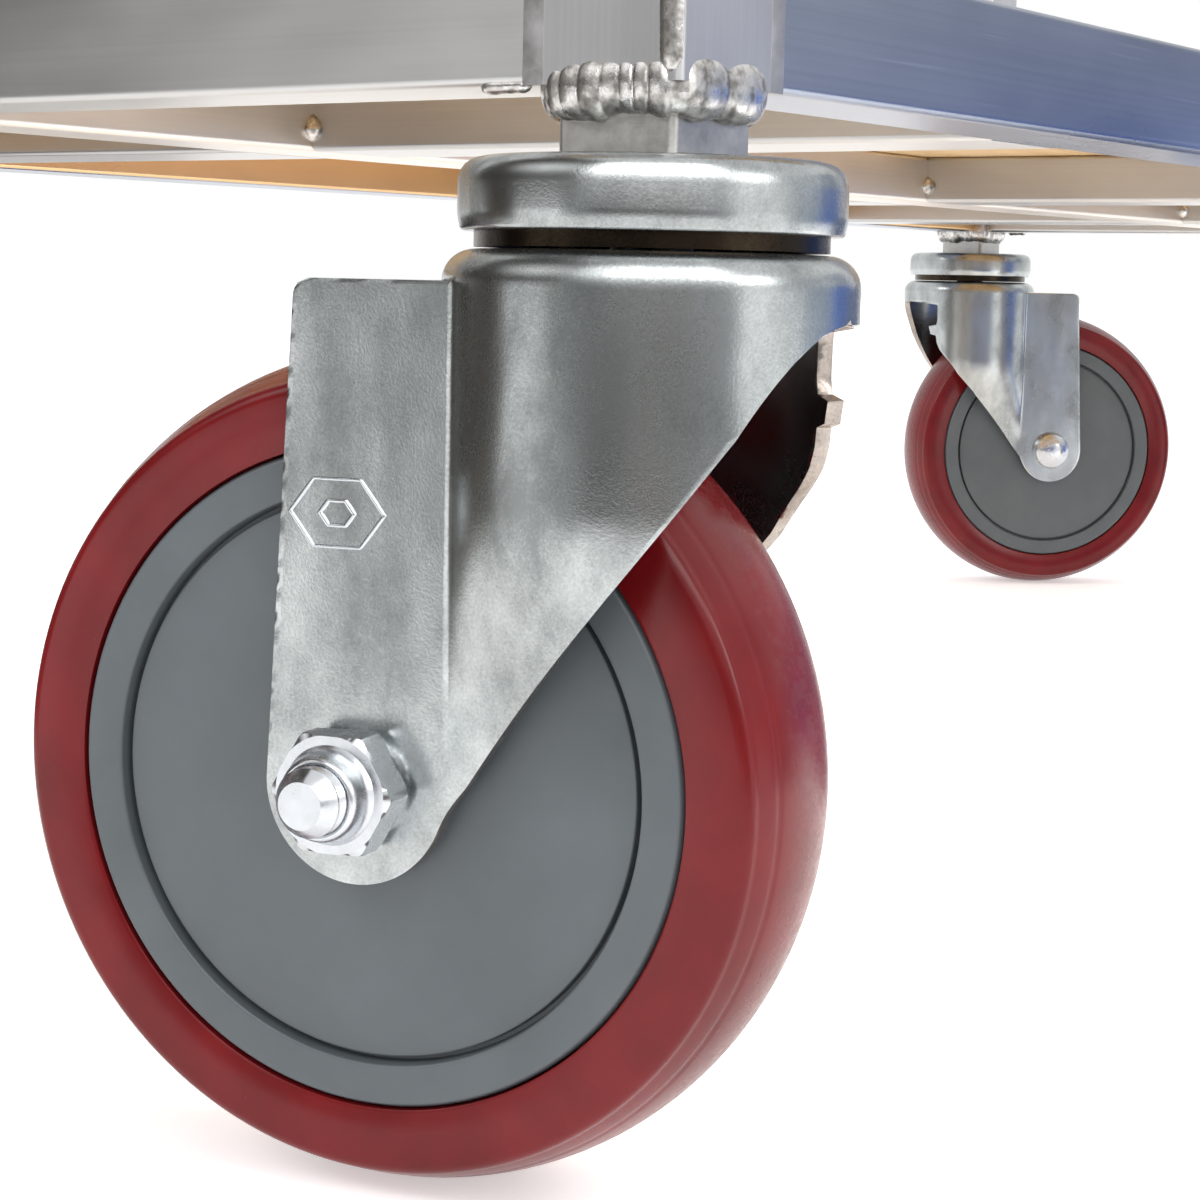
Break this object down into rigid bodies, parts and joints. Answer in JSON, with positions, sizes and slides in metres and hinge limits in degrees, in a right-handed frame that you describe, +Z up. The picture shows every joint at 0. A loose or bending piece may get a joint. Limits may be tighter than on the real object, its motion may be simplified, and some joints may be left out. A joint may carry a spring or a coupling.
{
  "type": "narrow rolling baker scaffold",
  "caption": "Narrow rolling scaffold with ladder end frames, a pinned sliding plywood platform and red-tyred swivel casters.",
  "frame": {"origin": "on the floor, under the middle of the scaffold's outer box", "axes": "+Z up, +X along the platform's length, +Y across its width"},
  "size_m": [0.918, 0.4984, 1.203],
  "materials": {
    "frame_aluminium": "mill-finish extruded tube, fine draw lines and scratches",
    "stub_aluminium": "satin",
    "weld": "shiny rippled weld bead",
    "zinc_steel": "zinc-plated pressed steel, mottled blue-grey",
    "zinc_bright": "bright zinc-plated nut",
    "plain_steel": "oiled steel",
    "red_polyurethane": "glossy cast polyurethane",
    "grey_core": "satin moulded plastic",
    "black_plastic": "moulded plastic",
    "plywood": "birch plywood, thin clear varnish"
  },
  "bodies": {
    "frame": {"post_1": "frame_aluminium", "post_2": "frame_aluminium", "post_3": "frame_aluminium", "post_4": "frame_aluminium", "end_rail_front": "frame_aluminium", "end_rail_rear": "frame_aluminium", "side_rail_right": "frame_aluminium", "side_rail_left": "frame_aluminium", "middle_bar": "frame_aluminium", "cross_bar_front": "frame_aluminium", "cross_bar_middle": "frame_aluminium", "cross_bar_rear": "frame_aluminium", "rungs_front": "frame_aluminium", "rungs_rear": "frame_aluminium", "caster_stubs": "stub_aluminium", "weld_beads": "weld", "raceway_caps": "zinc_steel", "kingpins": "plain_steel", "bearing_balls": "plain_steel", "post_caps": "black_plastic", "base_deck": "plywood", "base_screws": "plain_steel"},
    "platform": {"deck_board": "plywood", "deck_rail_right": "frame_aluminium", "deck_rail_left": "frame_aluminium", "deck_ends": "frame_aluminium", "deck_joists": "frame_aluminium", "deck_sleeves": "zinc_steel", "deck_rivets": "plain_steel", "pin_housings": "plain_steel"},
    "pin_1": {"pull_pin_1": "plain_steel", "pull_knob_1": "black_plastic"},
    "swivel_1": {"fork_1": "zinc_steel", "axle_bolt_1": "plain_steel", "axle_nut_1": "zinc_bright"},
    "wheel_1": {"tyre_1": "red_polyurethane", "wheel_core_1": "grey_core"},
    "pin_2": {"pull_pin_2": "plain_steel", "pull_knob_2": "black_plastic"},
    "swivel_2": {"fork_2": "zinc_steel", "axle_bolt_2": "plain_steel", "axle_nut_2": "zinc_bright"},
    "wheel_2": {"tyre_2": "red_polyurethane", "wheel_core_2": "grey_core"},
    "pin_3": {"pull_pin_3": "plain_steel", "pull_knob_3": "black_plastic"},
    "swivel_3": {"fork_3": "zinc_steel", "axle_bolt_3": "plain_steel", "axle_nut_3": "zinc_bright"},
    "wheel_3": {"tyre_3": "red_polyurethane", "wheel_core_3": "grey_core"},
    "pin_4": {"pull_pin_4": "plain_steel", "pull_knob_4": "black_plastic"},
    "swivel_4": {"fork_4": "zinc_steel", "axle_bolt_4": "plain_steel", "axle_nut_4": "zinc_bright"},
    "wheel_4": {"tyre_4": "red_polyurethane", "wheel_core_4": "grey_core"}
  },
  "joints": [
    {"name": "platform_lift", "type": "slide", "parent": "frame", "child": "platform", "axis": [0, 0, 1], "range_m": [0, 0.3]},
    {"name": "pull_pin_1", "type": "slide", "parent": "platform", "child": "pin_1", "axis": [0, -1, 0], "range_m": [0, 0.012], "stiffness_N_per_m": 600, "springref_m": -0.008},
    {"name": "swivel_1", "type": "hinge", "parent": "frame", "child": "swivel_1", "pos_m": [-0.3825, -0.1685, 0.135], "axis": [0, 0, 1], "continuous": true},
    {"name": "wheel_spin_1", "type": "hinge", "parent": "swivel_1", "child": "wheel_1", "pos_m": [-0.39033, -0.13347, 0.0635], "axis": [-0.9759, -0.2181, 0], "continuous": true},
    {"name": "pull_pin_2", "type": "slide", "parent": "platform", "child": "pin_2", "axis": [0, 1, 0], "range_m": [0, 0.012], "stiffness_N_per_m": 600, "springref_m": -0.008},
    {"name": "swivel_2", "type": "hinge", "parent": "frame", "child": "swivel_2", "pos_m": [-0.3825, 0.1685, 0.135], "axis": [0, 0, 1], "continuous": true},
    {"name": "wheel_spin_2", "type": "hinge", "parent": "swivel_2", "child": "wheel_2", "pos_m": [-0.40689, 0.19484, 0.0635], "axis": [-0.7337, -0.6794, 0], "continuous": true},
    {"name": "pull_pin_3", "type": "slide", "parent": "platform", "child": "pin_3", "axis": [0, 1, 0], "range_m": [0, 0.012], "stiffness_N_per_m": 600, "springref_m": -0.008},
    {"name": "swivel_3", "type": "hinge", "parent": "frame", "child": "swivel_3", "pos_m": [0.3825, 0.1685, 0.135], "axis": [0, 0, 1], "continuous": true},
    {"name": "wheel_spin_3", "type": "hinge", "parent": "swivel_3", "child": "wheel_3", "pos_m": [0.40689, 0.14216, 0.0635], "axis": [0.7337, 0.6794, 0], "continuous": true},
    {"name": "pull_pin_4", "type": "slide", "parent": "platform", "child": "pin_4", "axis": [0, -1, 0], "range_m": [0, 0.012], "stiffness_N_per_m": 600, "springref_m": -0.008},
    {"name": "swivel_4", "type": "hinge", "parent": "frame", "child": "swivel_4", "pos_m": [0.3825, -0.1685, 0.135], "axis": [0, 0, 1], "continuous": true},
    {"name": "wheel_spin_4", "type": "hinge", "parent": "swivel_4", "child": "wheel_4", "pos_m": [0.40689, -0.19484, 0.0635], "axis": [0.7337, 0.6794, 0], "continuous": true}
  ]
}
